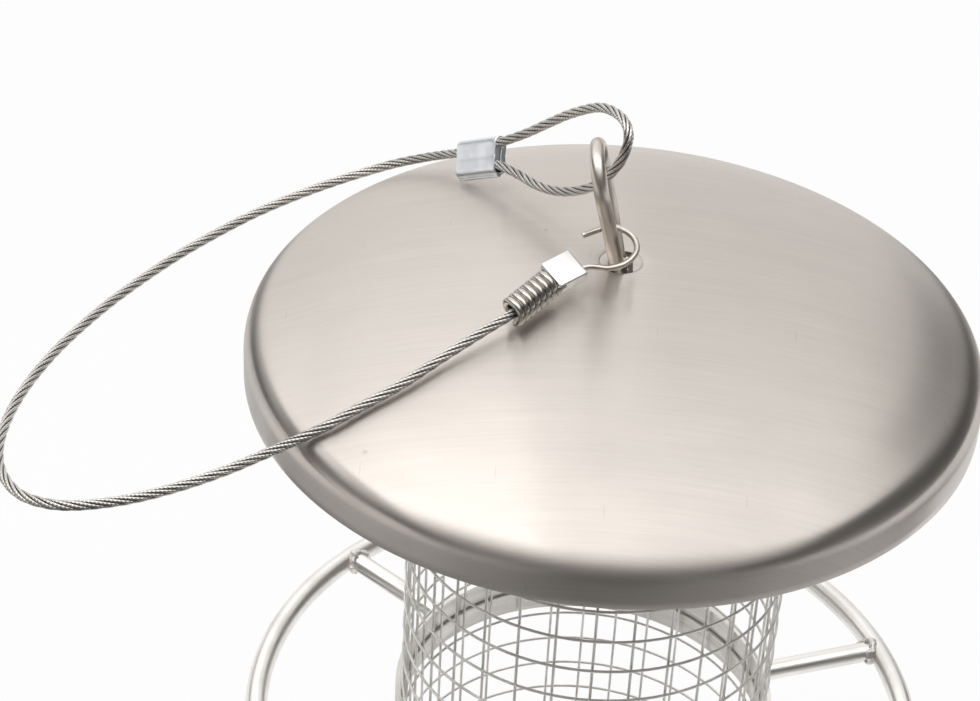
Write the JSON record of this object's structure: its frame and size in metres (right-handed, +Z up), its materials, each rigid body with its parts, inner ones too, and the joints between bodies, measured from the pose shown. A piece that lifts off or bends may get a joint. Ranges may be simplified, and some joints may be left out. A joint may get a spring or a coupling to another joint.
{
  "type": "tube bird feeder",
  "caption": "Hanging bird feeder: a wire mesh tube with a ring perch, a drained base cup and a domed steel lid, hung by a wire ring and a wire rope with a hook.",
  "frame": {"origin": "middle of the base cup's underside", "axes": "+Z up along the tube, Y along the pivot of the hanging ring"},
  "size_m": [0.195, 0.153, 0.2364],
  "materials": {
    "mesh_wire": "bright drawn wire",
    "perch_rod": "polished stainless rod",
    "band_sheet": "satin stainless sheet",
    "weld_bead": "cleaned weld",
    "rivet": "satin",
    "inner_sheet": "plain stainless sheet",
    "bush": "turned",
    "lid_sheet": "brushed stainless sheet",
    "stem": "turned stainless",
    "ring_wire": "satin stainless wire",
    "rope": "bare twisted strands",
    "crimp": "pressed, satin",
    "coil_wire": "bright spring wire"
  },
  "bodies": {
    "tube": {"base_cup": "band_sheet", "base_rivets": "rivet", "base_washers": "rivet", "mesh_uprights": "mesh_wire", "mesh_hoops": "mesh_wire", "perch_band": "band_sheet", "perch_arm_right": "perch_rod", "perch_arm_left": "perch_rod", "perch_arm_front": "perch_rod", "perch_ring": "perch_rod", "perch_welds": "weld_bead", "top_collar": "band_sheet", "bridge_bar": "inner_sheet", "bridge_bush": "bush", "bridge_rivets": "rivet"},
    "lid": {"lid_shell": "lid_sheet", "lid_collar": "inner_sheet", "lid_strap": "inner_sheet"},
    "hanger": {"hanger_stem": "stem", "hanger_washer": "inner_sheet"},
    "ring": {"hanging_ring": "ring_wire", "hanger_rope": "rope", "rope_loop": "rope", "loop_sleeve": "crimp", "hook_crimp": "crimp", "hook_coil": "coil_wire", "hook_wire": "ring_wire"}
  },
  "joints": [
    {"name": "lid_lift", "type": "slide", "parent": "tube", "child": "lid", "axis": [0, 0, 1], "range_m": [0, 0.15]},
    {"name": "hanger_turn", "type": "hinge", "parent": "lid", "child": "hanger", "pos_m": [0, 0, 0.2038], "axis": [0, 0, 1], "continuous": true},
    {"name": "ring_tilt", "type": "hinge", "parent": "hanger", "child": "ring", "pos_m": [0, 0, 0.2038], "axis": [0, 1, 0], "range_deg": [0, 26]}
  ]
}
